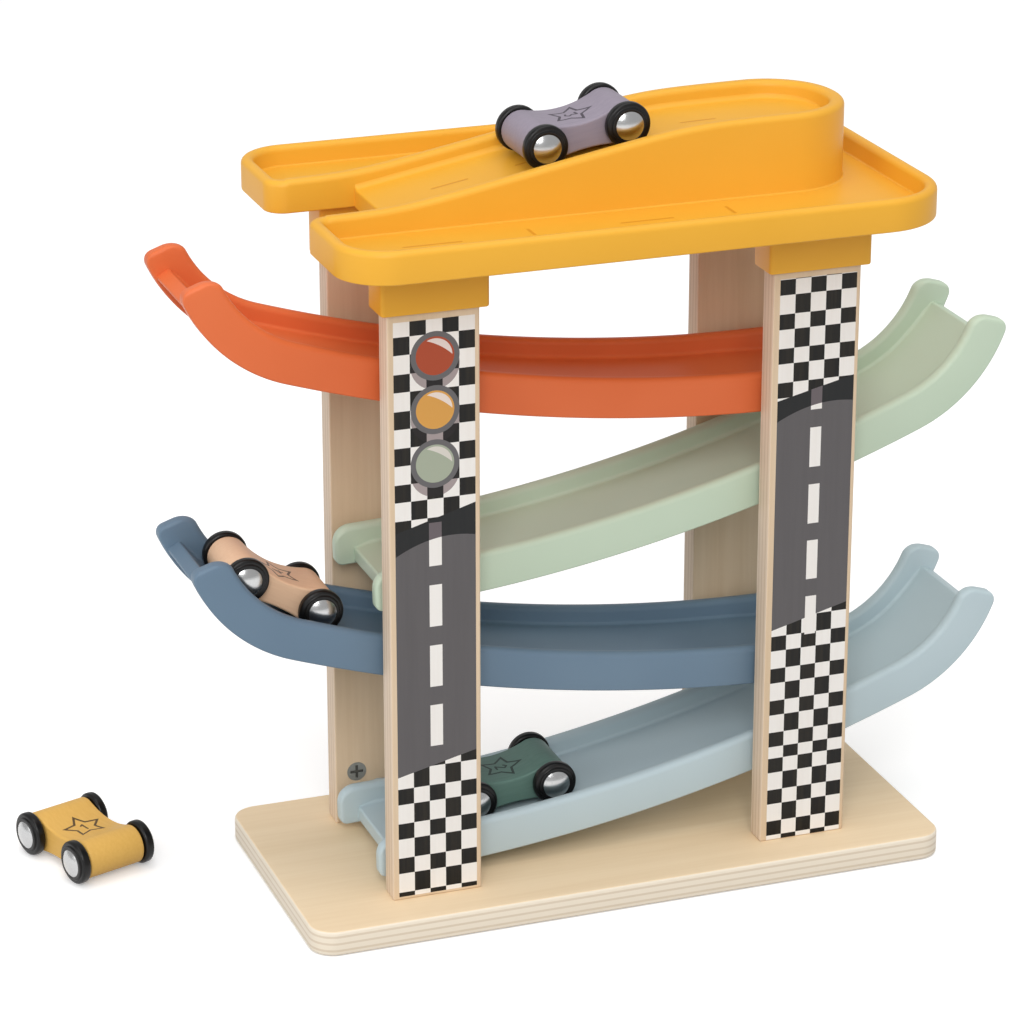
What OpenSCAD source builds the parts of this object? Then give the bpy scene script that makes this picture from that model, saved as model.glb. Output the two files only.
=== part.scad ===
// Click clack track toy: four curved tracks between wooden posts, a start deck on top, and four cars.
// The origin is the middle of the base board's underside, X along the board, Y away from the printed posts.

/* [Base board] */
// Length of the board
base_length = 264; // [230:1:320]
// Depth of the board, front to back
base_depth = 120; // [110:1:160]
// Thickness of the plywood board
base_thickness = 10; // [8:0.5:16]
// Radius of the board's corners
base_corner = 10; // [4:0.5:20]

/* [Posts] */
// Width of a post along the board
post_width = 36; // [31:0.5:44]
// Thickness of a post, front to back
post_thickness = 10; // [9:0.5:14]
// Height of a post above the board
post_height = 260; // [250:1:320]
// Distance between the left and the right posts, centre to centre
post_spacing = 154; // [140:1:170]
// Clear gap between the front and the rear posts
post_gap = 64; // [60:0.5:70]

/* [Fastenings] */
// Diameter of the bolts that come up through the board
bolt_diameter = 4; // [3:0.5:5]
// Diameter of a bolt's head
bolt_head_diameter = 8; // [6.5:0.5:9]
// Height of a bolt's head
bolt_head_height = 3; // [2:0.5:4]
// How far a bolt's head lies above the board's underside
bolt_head_recess = 1; // [0.5:0.1:2]
// Diameter of the cross nuts in the posts
nut_diameter = 8; // [7:0.5:9]
// Length of a cross nut
nut_length = 8; // [6:0.5:8.5]
// Height of the cross nuts above the board
nut_height = 21.7; // [16:0.1:28]
// Distance between the two bolts of a post
bolt_pitch = 18; // [12:0.5:20]
// Width of the screwdriver slots in a cross nut's end
nut_slot_width = 1.2; // [0.8:0.1:1.6]
// Length of those slots
nut_slot_length = 5.4; // [4:0.1:6]
// Depth of those slots
nut_slot_depth = 0.8; // [0.4:0.1:1.2]

/* [Start deck] */
// Reach of the deck to the left of the middle
deck_left = 120; // [110:1:135]
// Reach of the deck to the right of the middle
deck_right = 119; // [108:1:125]
// Depth of the deck, front to back
deck_depth = 154; // [140:1:180]
// Thickness of the tray floor
deck_floor = 4.4; // [3:0.1:6]
// Height of the rim, from the deck's underside
rim_height = 12.4; // [9:0.1:16]
// Thickness of the rim
rim_wall = 5; // [3:0.1:7]
// Radius of the deck's corners at the exit end
deck_exit_corner = 20; // [12:0.5:26]
// Radius of the deck's corners at the closed end
deck_closed_corner = 28; // [8:0.5:32]
// Radius of the prongs' corners beside the exit
prong_corner = 8; // [3:0.5:12]
// Depth of the sockets that hold the posts' tops
socket_depth = 22.2; // [14:0.1:30]
// Wall of those sockets
socket_wall = 2.9; // [1.5:0.1:4]

/* [Start ramp] */
// Width of the channel that the car rolls in
ramp_channel = 46; // [43:0.5:52]
// Thickness of the ramp's side walls
ramp_wall = 6; // [4:0.1:8]
// Distance from the middle to the edge where the car drops
ramp_exit = 86; // [80:1:92]
// Distance from the middle to where the slope meets the level stretch
ramp_crest = 32; // [24:1:40]
// Distance from the middle to the ramp's closed end
ramp_end = 102; // [90:0.5:103]
// Height of the channel floor at the exit, above the deck's underside
ramp_exit_height = 7; // [5.5:0.1:9]
// Height of the level channel floor above the deck's underside
ramp_top_height = 28; // [22:0.5:36]
// Height of the side walls above the level floor
ramp_wall_height = 6.8; // [4:0.1:10]
// Width of the flat middle of the ramp's rounded closed end
ramp_flat = 2; // [1:0.5:30]
// Radius that eases the slope into the level stretch
ramp_ease = 70; // [30:1:120]
// Thickness of the moulding under the channel
ramp_shell = 3; // [2:0.1:5]

/* [Tracks] */
// Width of a track over its walls
track_width = 56; // [53:0.5:59]
// Thickness of a track's walls
track_wall = 5.5; // [4:0.1:7]
// Height of a track's walls, square to the run
track_height = 15.8; // [14:0.1:18]
// Thickness of a track's floor
track_floor = 5.3; // [3:0.1:6]
// How far the floor's underside lies above the walls' lower edges
floor_rise = 3; // [1:0.1:4]
// Radius of the long run, along the walls' lower edges
run_radius = 673; // [620:1:760]
// Radius of the upturned lip, along the walls' lower edges
lip_radius = 62.5; // [58:0.5:80]
// Length of the upturned lip
lip_length = 57; // [52:0.5:60]
// Distance from the middle to where run and lip meet
lip_start = 129.5; // [124:0.5:134]
// Distance from the middle to the low end
track_low_end = 96; // [94:0.5:100]
// Height of the bottom track's middle above the board
bottom_track_height = 12.2; // [12:0.1:16]
// Step from one track up to the next
track_pitch = 56.5; // [54:0.1:58]
// Angle of the bottom track where run and lip meet, in degrees
bottom_angle = 20.7; // [19:0.1:22]
// Angle of the second track there, in degrees
second_angle = 19.5; // [18:0.1:22]
// Angle of the third track there, in degrees
third_angle = 21.5; // [18:0.1:22]
// Angle of the top track there, in degrees
top_angle = 18.2; // [18:0.1:22]
// How far the floor stops short of the walls at the low end
low_setback = 5; // [2:0.1:10]
// How far the floor stops short of the walls at the lip
lip_setback = 9; // [4:0.1:14]
// Radius of the walls' upper corners
tip_corner = 7; // [3:0.1:8]
// Radius of the walls' lower corners
heel_corner = 4.5; // [1:0.1:6]
// Radius of the floor's edges at both ends
floor_corner = 1.5; // [0.5:0.1:2]
// Diameter of the pegs that hold a track in the posts
peg_diameter = 6; // [4:0.1:8]
// Length of a peg inside the post
peg_depth = 6; // [4:0.1:8]
// Diameter of the shoulders that keep a track off the posts
shoulder_diameter = 11; // [9:0.1:13]

/* [Cars] */
// Distance between a car's axles
wheelbase = 33.4; // [30:0.1:40]
// Diameter of the wheels
wheel_diameter = 17.6; // [16.6:0.1:20]
// Width of a wheel
wheel_width = 4.6; // [3.6:0.1:5.6]
// Diameter of the raised inner ring of a wheel
ring_diameter = 14; // [12.5:0.1:14.5]
// Height of that ring's step
ring_step = 0.7; // [0.3:0.1:1]
// Radius of the wheel's rounded shoulders
wheel_shoulder = 1.2; // [0.5:0.1:1.6]
// Diameter of the metal dome in a wheel
dome_diameter = 11; // [9:0.1:11.5]
// How far the dome stands out of the wheel
dome_height = 1.5; // [0.8:0.1:2]
// Depth of the dome's seat in the wheel
dome_seat = 1.6; // [1:0.1:2.2]
// Diameter of the axles
axle_diameter = 3; // [2:0.1:4]
// Width of the wooden body
body_width = 25; // [20:0.1:26]
// Radius of the body's ends, about the axles
body_end = 7.8; // [6:0.1:8.2]
// Depth of the scoop in the body's top
top_scoop = 3.2; // [1:0.1:4.5]
// Depth of the hollow in the body's underside
belly_scoop = 2; // [0.5:0.1:3]

/* [Car places] */
// Place of the lilac car on the ramp, from the middle
lilac_place = -5.4; // [-60:0.1:8]
// Distance of the peach car's front wheels below the lip, along the run
peach_place = 10.5; // [6:0.1:14]
// Slope of the run under the green car, in degrees
green_angle = 6.4; // [4:0.1:15]
// Place of the yellow car on the table, left of the middle
yellow_left = 193; // [170:0.1:240]
// Place of the yellow car on the table, behind the middle
yellow_back = 56.6; // [0:0.1:80]
// Turn of the yellow car on the table, in degrees
yellow_turn = 71; // [0:0.1:180]

/* [Fits] */
// Gap between a wheel and what it rolls on
rolling_gap = 0.2; // [0.05:0.01:0.4]
// Radial play of an axle in its bore
axle_play = 0.08; // [0.02:0.01:0.1]
// Side play between a wheel and the body
wheel_play = 0.5; // [0.3:0.1:1]
// Play around posts in their sockets
socket_play = 0.15; // [0.05:0.01:0.4]
// Radial play around pegs, nuts and bolts
fit_play = 0.05; // [0.02:0.01:0.2]

/* [Hidden] */
$fn = 96;

// How far a cut runs past the face that it opens
overrun = 1;
// How far a track's corner circles lie from the faces that they cross, as a share of their radius
corner_share = 0.985;
// Steps round the ramp's bend
bend_steps = 6;

wood = [0.87, 0.77, 0.62];
yellow_plastic = [0.96, 0.66, 0.17];
steel = [0.75, 0.76, 0.78];
black = [0.08, 0.08, 0.08];
lilac = [0.64, 0.61, 0.70];
peach = [0.86, 0.64, 0.46];
forest = [0.27, 0.38, 0.34];
sand = [0.86, 0.67, 0.36];

post_top = base_thickness + post_height;
post_x = post_spacing / 2;
post_y = (post_gap + post_thickness) / 2;
channel_half = ramp_channel / 2;
ramp_half = channel_half + ramp_wall;
ramp_corner = ramp_half - ramp_flat / 2;
ramp_rise = ramp_top_height - ramp_exit_height;
ramp_run = ramp_exit + ramp_crest;
ramp_slope = atan(ramp_rise / ramp_run);
wall_top = ramp_top_height + ramp_wall_height;
wall_slope = atan((wall_top - rim_height) / ramp_run);
wheel_radius = wheel_diameter / 2;
ride_height = wheel_radius + rolling_gap;
wheel_seat = body_width / 2 + wheel_play;
axle_half = wheel_seat + wheel_width - dome_seat;

// The tracks from the bottom up: height of the middle, slope where run and lip meet, lip's side
slopes = [bottom_angle, second_angle, third_angle, top_angle];
tracks = [for (i = [0 : len(slopes) - 1])
    [base_thickness + bottom_track_height + i * track_pitch, slopes[i], i % 2 == 0 ? 1 : -1]];
floor_top = floor_rise + track_floor;

// Heights of the peg holes above the board, in the left and in the right posts
left_pegs = [for (t = tracks) peg_rise(t, t.z * post_x) - base_thickness];
right_pegs = [for (t = tracks) peg_rise(t, -t.z * post_x) - base_thickness];

// Rounded rectangle from its low corner to its high corner, with left and right corner radii
module rounded_plan(low, high, left_r, right_r) {
    corners = [[low.x, low.y, left_r, 1, 1], [low.x, high.y, left_r, 1, -1],
               [high.x, low.y, right_r, -1, 1], [high.x, high.y, right_r, -1, -1]];
    difference() {
        translate(low) square(high - low);
        for (c = corners)
            translate([c.x, c.y]) scale_to(c[3], c[4]) corner_sliver(c[2]);
    }
}

// Mirrors a shape by the signs of its X and Y
module scale_to(sx, sy) {
    mirror([sx < 0 ? 1 : 0, 0]) mirror([0, sy < 0 ? 1 : 0]) children();
}

// What a corner at the origin loses when it is rounded
module corner_sliver(r) {
    difference() {
        translate([-overrun, -overrun]) square(r + overrun);
        translate([r, r]) circle(r);
    }
}

// Stands a side outline in X and Z up between two Y values
module upright(from_y, to_y) {
    translate([0, to_y, 0]) rotate([90, 0, 0]) linear_extrude(to_y - from_y) children();
}

// Repeats its children at the two bolts of a post
module at_bolts() {
    for (side = [-1, 1]) translate([side * bolt_pitch / 2, 0, 0]) children();
}

// Repeats its children at the four posts, with the posts' inner faces towards +Y
module at_posts() {
    for (x = [-post_x, post_x], turn = [0, 180])
        rotate(turn) translate([x, -post_y, 0]) children();
}

module base_board() {
    color(wood) difference() {
        linear_extrude(base_thickness)
            rounded_plan([-base_length / 2, -base_depth / 2], [base_length / 2, base_depth / 2],
                         base_corner, base_corner);
        at_posts() at_bolts() {
            translate([0, 0, -overrun])
                cylinder(h = base_thickness + 2 * overrun, d = bolt_diameter + 2 * fit_play);
            translate([0, 0, -overrun])
                cylinder(h = overrun + bolt_head_recess + bolt_head_height,
                         d = bolt_head_diameter + 2 * fit_play);
        }
    }
}

// One post at the origin of its foot, its inner face towards +Y, with the tracks' peg holes
module post(peg_heights) {
    color(wood) difference() {
        translate([-post_width / 2, -post_thickness / 2, 0])
            cube([post_width, post_thickness, post_height]);
        at_bolts() {
            translate([0, 0, -overrun])
                cylinder(h = nut_height + nut_diameter + overrun, d = bolt_diameter + 2 * fit_play);
            translate([0, post_thickness / 2 + overrun, nut_height]) rotate([90, 0, 0])
                cylinder(h = nut_length + overrun, d = nut_diameter + 2 * fit_play);
        }
        for (z = peg_heights)
            translate([0, post_thickness / 2 + overrun, z]) rotate([90, 0, 0])
                cylinder(h = peg_depth + fit_play + overrun, d = peg_diameter + 2 * fit_play);
    }
}

module front_left_post() {
    translate([-post_x, -post_y, base_thickness]) post(left_pegs);
}

module front_right_post() {
    translate([post_x, -post_y, base_thickness]) post(right_pegs);
}

module rear_left_post() {
    translate([-post_x, post_y, base_thickness]) rotate(180) post(left_pegs);
}

module rear_right_post() {
    translate([post_x, post_y, base_thickness]) rotate(180) post(right_pegs);
}

module base_bolts() {
    shank = base_thickness - bolt_head_recess + nut_height + nut_diameter / 2;
    color(steel) at_posts() at_bolts() translate([0, 0, bolt_head_recess]) {
        cylinder(h = bolt_head_height, d = bolt_head_diameter);
        cylinder(h = shank, d = bolt_diameter);
    }
}

module cross_nuts() {
    color(steel) at_posts() at_bolts()
        translate([0, post_thickness / 2, base_thickness + nut_height]) rotate([90, 0, 0])
            difference() {
                cylinder(h = nut_length, d = nut_diameter);
                for (turn = [0, 90])
                    rotate(turn) translate([-nut_slot_length / 2, -nut_slot_width / 2, -overrun])
                        cube([nut_slot_length, nut_slot_width, nut_slot_depth + overrun]);
                translate([0, nut_diameter, post_thickness / 2]) rotate([90, 0, 0])
                    cylinder(h = 2 * nut_diameter, d = bolt_diameter + 2 * fit_play);
            }
}

// Points of a line that rises to the level stretch and eases into it, moved up and along
function eased_line(start, crest, slope, ease, end_x) =
    let (back = ease * tan(slope / 2))
    concat([start],
           [for (i = [0 : bend_steps]) let (a = slope * (1 - i / bend_steps))
               [crest.x + back - ease * sin(a), crest.y - ease * (1 - cos(a))]],
           [[end_x, crest.y]]);

channel_line = eased_line([-ramp_exit, ramp_exit_height], [ramp_crest, ramp_top_height],
                          ramp_slope, ramp_ease, ramp_end + overrun);
wall_line = eased_line([-ramp_exit, rim_height], [ramp_crest, wall_top],
                       wall_slope, ramp_ease, ramp_end + overrun);

// Plan of the deck, drawn in from its edge by an inset, with the notch where the cars drop
module deck_plan(inset = 0, notch_half = channel_half) {
    difference() {
        rounded_plan([-deck_left + inset, -deck_depth / 2 + inset],
                     [deck_right - inset, deck_depth / 2 - inset],
                     deck_exit_corner - inset, deck_closed_corner - inset);
        translate([-deck_left - overrun, -notch_half])
            square([deck_left - ramp_exit + overrun, 2 * notch_half]);
        for (side = [-1, 1])
            translate([-deck_left + inset, side * notch_half]) scale_to(1, side) corner_sliver(prong_corner);
    }
}

// Plan of the ramp's block or of its channel, closed at the right and open at the left
module ramp_plan(half, end_x, corner) {
    rounded_plan([-deck_left - overrun, -half], [end_x, half], 0, corner);
}

// What lies above a line in X and Z
module above(line) {
    polygon(concat([[-deck_left - 2 * overrun, line[0].y]], line,
                   [[ramp_end + overrun, 2 * wall_top], [-deck_left - 2 * overrun, 2 * wall_top]]));
}

module start_deck() {
    color(yellow_plastic) translate([0, 0, post_top]) {
        difference() {
            union() {
                linear_extrude(rim_height) deck_plan();
                difference() {
                    linear_extrude(wall_top) intersection() {
                        deck_plan();
                        ramp_plan(ramp_half, ramp_end, ramp_corner);
                    }
                    upright(-ramp_half - overrun, ramp_half + overrun) above(wall_line);
                }
            }
            translate([0, 0, deck_floor]) linear_extrude(rim_height) difference() {
                deck_plan(rim_wall, ramp_half);
                ramp_plan(ramp_half, ramp_end, ramp_corner);
            }
            intersection() {
                linear_extrude(2 * wall_top)
                    ramp_plan(channel_half, ramp_end - ramp_wall, ramp_corner - ramp_wall);
                upright(-ramp_half, ramp_half) above(channel_line);
            }
            difference() {
                translate([0, 0, -overrun]) linear_extrude(ramp_top_height - ramp_shell + overrun)
                    intersection() {
                        deck_plan();
                        ramp_plan(channel_half, ramp_end - ramp_wall, ramp_corner - ramp_wall);
                        translate([-ramp_exit + ramp_shell, -channel_half])
                            square([ramp_exit + ramp_end, 2 * channel_half]);
                    }
                translate([0, 0, -ramp_shell]) upright(-ramp_half, ramp_half) above(channel_line);
            }
        }
        at_posts() socket();
    }
}

// Square sleeve under the deck that takes the top of a post
module socket() {
    inner = [post_width + 2 * socket_play, post_thickness + 2 * socket_play];
    outer = inner + 2 * [socket_wall, socket_wall];
    translate([0, 0, -socket_depth]) linear_extrude(socket_depth) difference() {
        square(outer, center = true);
        square(inner, center = true);
    }
}

// Centre of a track's run or lip in X and Z, with its lip at -X
function run_centre(track) =
    let (x = run_radius * sin(track.y) - lip_start)
    [x, track.x + sqrt(pow(run_radius, 2) - x * x)];
function lip_centre(track) = run_centre(track) + (run_radius - lip_radius) * down(track.y);

// Directions at a slope: from a track's centre down to its floor, and along the floor towards the lip
function down(slope) = -[sin(slope), cos(slope)];
function ahead(slope) = [-cos(slope), sin(slope)];

// Turn that a length along an arc makes, in degrees
function turn_over(length, r) = length / r * 180 / PI;

// Part of a ring about the origin, from straight below to a slope
module band(outer, inner, slope) {
    intersection() {
        difference() {
            circle(outer);
            circle(inner);
        }
        polygon([[0, 0], 2 * outer * down(0), 2 * outer * down(slope)]);
    }
}

// What a band's end loses at one corner, whose circle runs into the end and the arc of radius rim.
// Inwards is 1 at the low end and -1 at the lip's tip, and edge is 1 at the top and -1 below.
module end_sliver(rim, slope, inwards, edge, r) {
    near = corner_share * r;
    hub = rim + edge * near;
    hub_slope = slope + inwards * asin(near / hub);
    middle = hub * down(hub_slope);
    to_rim = -edge * (r + overrun) * down(hub_slope);
    to_end = -inwards * (r + overrun) * ahead(slope);
    difference() {
        polygon([middle, middle + to_rim, middle + to_rim + to_end, middle + to_end]);
        translate(middle) circle(r);
    }
}

// Strip along a track in X and Z, between two distances from where run and lip meet and between two
// heights square to the track, with rounded ends. It is drawn with that place level at the origin.
module level_strip(low, high, under, top, top_r, heel_r) {
    ends = [[run_radius, turn_over(low, run_radius), 1], [lip_radius, turn_over(high, lip_radius), -1]];
    difference() {
        for (e = ends)
            translate([0, e[0]]) band(e[0] - under, e[0] - top, e[1]);
        for (e = ends) translate([0, e[0]]) {
            end_sliver(e[0] - top, e[1], e[2], 1, top_r);
            end_sliver(e[0] - under, e[1], e[2], -1, heel_r);
        }
    }
}

// Turns and moves a shape from where run and lip meet level at the origin to a track
module along(track) {
    translate(run_centre(track) + run_radius * down(track.y)) rotate(-track.y) children();
}

// Distance along a track's run to an X value, counted from where run and lip meet
function run_to(track, x) =
    (asin((run_centre(track).x - x) / run_radius) - track.y) * PI / 180 * run_radius;

// Height of a track's pegs at a post's X value, with the lip at -X
function peg_rise(track, x) =
    let (centre = run_centre(track), r = run_radius - track_height / 2)
    centre.y - sqrt(r * r - pow(centre.x - x, 2));

// One track with its lip at -X, its pegs reaching into the posts
module lipped_track(track) {
    half = track_width / 2;
    low_end = run_to(track, track_low_end);
    for (side = [-1, 1]) {
        upright(side < 0 ? -half : half - track_wall, side < 0 ? track_wall - half : half)
            along(track) level_strip(low_end, lip_length, 0, track_height, tip_corner, heel_corner);
        for (x = [-post_x, post_x])
            translate([x, side * (half - track_wall / 2), peg_rise(track, x)]) rotate([-side * 90, 0, 0]) {
                cylinder(h = post_gap / 2 - half + track_wall / 2, d = shoulder_diameter);
                cylinder(h = post_gap / 2 - half + track_wall / 2 + peg_depth, d = peg_diameter);
            }
    }
    upright(track_wall - half, half - track_wall)
        along(track) level_strip(low_end + low_setback, lip_length - lip_setback, floor_rise, floor_top,
                                 floor_corner, floor_corner);
}

// A track on the side that its lip rises to
module placed_track(track) {
    mirror([track.z > 0 ? 1 : 0, 0, 0]) lipped_track(track);
}

module orange_track() {
    color([0.86, 0.42, 0.26]) placed_track(tracks[3]);
}

module mint_track() {
    color([0.74, 0.84, 0.73]) placed_track(tracks[2]);
}

module dark_blue_track() {
    color([0.40, 0.50, 0.59]) placed_track(tracks[1]);
}

module light_blue_track() {
    color([0.68, 0.77, 0.81]) placed_track(tracks[0]);
}

// Centre of the circle that scoops the body between its ends, and its radius
scoop_start = [wheelbase / 2, 0];
function scoop_radius(depth) =
    (pow(wheelbase / 2, 2) - 2 * body_end * depth + depth * depth) / (2 * depth);

// Wooden body, with its origin midway between the axles
module car_body() {
    top_r = scoop_radius(top_scoop);
    belly_r = scoop_radius(belly_scoop);
    difference() {
        upright(-body_width / 2, body_width / 2) difference() {
            union() {
                translate([-wheelbase / 2, -body_end]) square([wheelbase, 2 * body_end]);
                for (side = [-1, 1]) translate(side * scoop_start) circle(body_end);
            }
            translate([0, body_end - top_scoop + top_r]) circle(top_r);
            translate([0, belly_scoop - body_end - belly_r]) circle(belly_r);
        }
        for (side = [-1, 1]) translate([side * wheelbase / 2, 0, 0]) rotate([90, 0, 0])
            cylinder(h = body_width + 2 * overrun, d = axle_diameter + 2 * axle_play, center = true);
    }
}

// Steel rod that carries a pair of wheels
module axle() {
    rotate([90, 0, 0]) cylinder(h = 2 * axle_half, d = axle_diameter, center = true);
}

// Repeats its children at both wheels of an axle, with +Z pointing away from the body
module at_wheels() {
    for (turn = [0, 180]) rotate(turn) translate([0, -wheel_seat, 0]) rotate([90, 0, 0]) children();
}

// Two black wheels with a raised inner ring and a seat for the dome
module wheels() {
    at_wheels() difference() {
        rotate_extrude() difference() {
            square([wheel_radius, wheel_width]);
            translate([ring_diameter / 2, wheel_width - ring_step]) square([wheel_radius, ring_step + overrun]);
            translate([wheel_radius, 0]) mirror([1, 0]) corner_sliver(wheel_shoulder);
            translate([wheel_radius, wheel_width - ring_step]) mirror([1, 0]) mirror([0, 1])
                corner_sliver(wheel_shoulder);
        }
        translate([0, 0, -overrun])
            cylinder(h = wheel_width + 2 * overrun, d = axle_diameter + 2 * fit_play);
        translate([0, 0, wheel_width - dome_seat])
            cylinder(h = dome_seat + overrun, d = dome_diameter + 2 * fit_play);
    }
}

// Two polished domes, each a slice of a ball, set in the wheels
module domes() {
    rise = dome_seat + dome_height;
    ball = (pow(dome_diameter / 2, 2) + pow(dome_height, 2)) / (2 * dome_height);
    at_wheels() translate([0, 0, wheel_width - dome_seat]) intersection() {
        cylinder(h = rise, d = dome_diameter);
        translate([0, 0, rise - ball]) sphere(ball);
    }
}

// Puts a car on the ramp
module on_ramp() {
    translate([lilac_place, 0, post_top + ramp_exit_height + (lilac_place + ramp_exit) * tan(ramp_slope)])
        rotate([0, -ramp_slope, 0]) translate([0, 0, ride_height]) children();
}

// Puts a car, its front at +X, between two axle places in X and Z
module between(rear, front) {
    middle = (rear + front) / 2;
    rise = front - rear;
    translate([middle.x, 0, middle.y]) rotate([0, -atan2(rise.y, rise.x), 0]) children();
}

// Where a circle about one centre meets a circle about another, on the left as seen from the first
function circles_meet(c1, r1, c2, r2) =
    let (apart = norm(c2 - c1), dir = (c2 - c1) / apart,
         along = (apart * apart + r1 * r1 - r2 * r2) / (2 * apart),
         off = sqrt(r1 * r1 - along * along))
    c1 + along * dir + off * [-dir.y, dir.x];

// The second track's car has its front wheels on the run and its rear wheels on the lip
module on_lip() {
    front = run_centre(tracks[1])
        + (run_radius - floor_top - ride_height) * down(tracks[1].y - turn_over(peach_place, run_radius));
    rear = circles_meet(front, wheelbase, lip_centre(tracks[1]), lip_radius - floor_top - ride_height);
    between(rear, front) children();
}

// The bottom track's car has all its wheels on the run
module on_run() {
    swing = run_radius - floor_top - ride_height;
    half_turn = asin(wheelbase / 2 / swing);
    centre = run_centre(tracks[0]);
    mirror([1, 0, 0])
        between(centre + swing * down(green_angle + half_turn), centre + swing * down(green_angle - half_turn))
            children();
}

module on_table() {
    translate([-yellow_left, yellow_back, wheel_radius]) rotate(-yellow_turn) children();
}

// Repeats its children at a car's front or rear axle
module at_axle(side) {
    translate([side * wheelbase / 2, 0, 0]) children();
}

module lilac_body() color(lilac) on_ramp() car_body();
module lilac_front_axle() color(steel) on_ramp() at_axle(-1) axle();
module lilac_front_wheels() color(black) on_ramp() at_axle(-1) wheels();
module lilac_front_domes() color(steel) on_ramp() at_axle(-1) domes();
module lilac_rear_axle() color(steel) on_ramp() at_axle(1) axle();
module lilac_rear_wheels() color(black) on_ramp() at_axle(1) wheels();
module lilac_rear_domes() color(steel) on_ramp() at_axle(1) domes();
module peach_body() color(peach) on_lip() car_body();
module peach_front_axle() color(steel) on_lip() at_axle(1) axle();
module peach_front_wheels() color(black) on_lip() at_axle(1) wheels();
module peach_front_domes() color(steel) on_lip() at_axle(1) domes();
module peach_rear_axle() color(steel) on_lip() at_axle(-1) axle();
module peach_rear_wheels() color(black) on_lip() at_axle(-1) wheels();
module peach_rear_domes() color(steel) on_lip() at_axle(-1) domes();
module green_body() color(forest) on_run() car_body();
module green_front_axle() color(steel) on_run() at_axle(1) axle();
module green_front_wheels() color(black) on_run() at_axle(1) wheels();
module green_front_domes() color(steel) on_run() at_axle(1) domes();
module green_rear_axle() color(steel) on_run() at_axle(-1) axle();
module green_rear_wheels() color(black) on_run() at_axle(-1) wheels();
module green_rear_domes() color(steel) on_run() at_axle(-1) domes();
module yellow_body() color(sand) on_table() car_body();
module yellow_front_axle() color(steel) on_table() at_axle(1) axle();
module yellow_front_wheels() color(black) on_table() at_axle(1) wheels();
module yellow_front_domes() color(steel) on_table() at_axle(1) domes();
module yellow_rear_axle() color(steel) on_table() at_axle(-1) axle();
module yellow_rear_wheels() color(black) on_table() at_axle(-1) wheels();
module yellow_rear_domes() color(steel) on_table() at_axle(-1) domes();

base_board();
front_left_post();
front_right_post();
rear_left_post();
rear_right_post();
base_bolts();
cross_nuts();
start_deck();
orange_track();
mint_track();
dark_blue_track();
light_blue_track();
lilac_body();
lilac_front_axle();
lilac_front_wheels();
lilac_front_domes();
lilac_rear_axle();
lilac_rear_wheels();
lilac_rear_domes();
peach_body();
peach_front_axle();
peach_front_wheels();
peach_front_domes();
peach_rear_axle();
peach_rear_wheels();
peach_rear_domes();
green_body();
green_front_axle();
green_front_wheels();
green_front_domes();
green_rear_axle();
green_rear_wheels();
green_rear_domes();
yellow_body();
yellow_front_axle();
yellow_front_wheels();
yellow_front_domes();
yellow_rear_axle();
yellow_rear_wheels();
yellow_rear_domes();
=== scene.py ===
"""Looks of the click clack track toy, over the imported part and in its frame. Sizes are in millimetres."""
import bpy
import numpy as np
from mathutils import Matrix, Vector
from mathutils.geometry import delaunay_2d_cdt


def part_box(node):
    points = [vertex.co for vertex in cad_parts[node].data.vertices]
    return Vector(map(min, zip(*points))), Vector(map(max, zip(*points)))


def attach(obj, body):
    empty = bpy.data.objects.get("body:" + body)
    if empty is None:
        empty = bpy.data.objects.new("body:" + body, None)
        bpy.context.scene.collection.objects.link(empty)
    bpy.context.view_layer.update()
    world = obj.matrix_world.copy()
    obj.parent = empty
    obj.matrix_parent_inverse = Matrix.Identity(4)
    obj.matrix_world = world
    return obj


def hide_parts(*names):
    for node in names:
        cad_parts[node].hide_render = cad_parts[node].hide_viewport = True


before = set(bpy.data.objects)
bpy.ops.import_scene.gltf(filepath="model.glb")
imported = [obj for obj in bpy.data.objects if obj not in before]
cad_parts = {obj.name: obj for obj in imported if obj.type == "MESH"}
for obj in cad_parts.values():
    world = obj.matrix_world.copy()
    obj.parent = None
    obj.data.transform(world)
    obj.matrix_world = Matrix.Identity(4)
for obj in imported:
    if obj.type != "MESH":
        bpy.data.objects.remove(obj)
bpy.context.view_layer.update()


# Base board: ten millimetres of birch plywood, sawn to a rounded outline, its edges eased by sanding and
# its faces lacquered. The posts' bolts come up through recessed bores in its underside.
MM = 0.001


def corners(node):
    """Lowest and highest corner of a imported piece, in millimetres."""
    return np.array(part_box(node)) / MM


def rounded_box(x0, y0, x1, y1, r, n):
    """Points of a rectangle with corners of radius r, anticlockwise, and their outward normals.

    point(q, a) = corner centre q + r (cos a, sin a), normal = (cos a, sin a), a from 90 q to 90 (q + 1)
    """
    a = np.radians(np.arange(4)[:, None] * 90 + np.linspace(0, 90, n + 1))
    normal = np.stack([np.cos(a), np.sin(a)], -1)
    centre = np.array([[x1 - r, y1 - r], [x0 + r, y1 - r], [x0 + r, y0 + r], [x1 - r, y0 + r]])
    return (centre[:, None] + r * normal).reshape(-1, 2), normal.reshape(-1, 2)


def circle(x, y, r, n=32):
    """Points of a circle: (x, y) + r (cos a, sin a)."""
    a = np.linspace(0, 2 * np.pi, n, endpoint=False)
    return np.stack([x + r * np.cos(a), y + r * np.sin(a)], -1)


def quads(rows, cols):
    """Faces of a tube of rows by cols points, the last column joined to the first."""
    row, here = np.meshgrid(np.arange(rows - 1), np.arange(cols), indexing="ij")
    beside = (here + 1) % cols
    low = row * cols
    high = low + cols
    return np.stack([low + here, low + beside, high + beside, high + here], -1).reshape(-1, 4)


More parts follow.
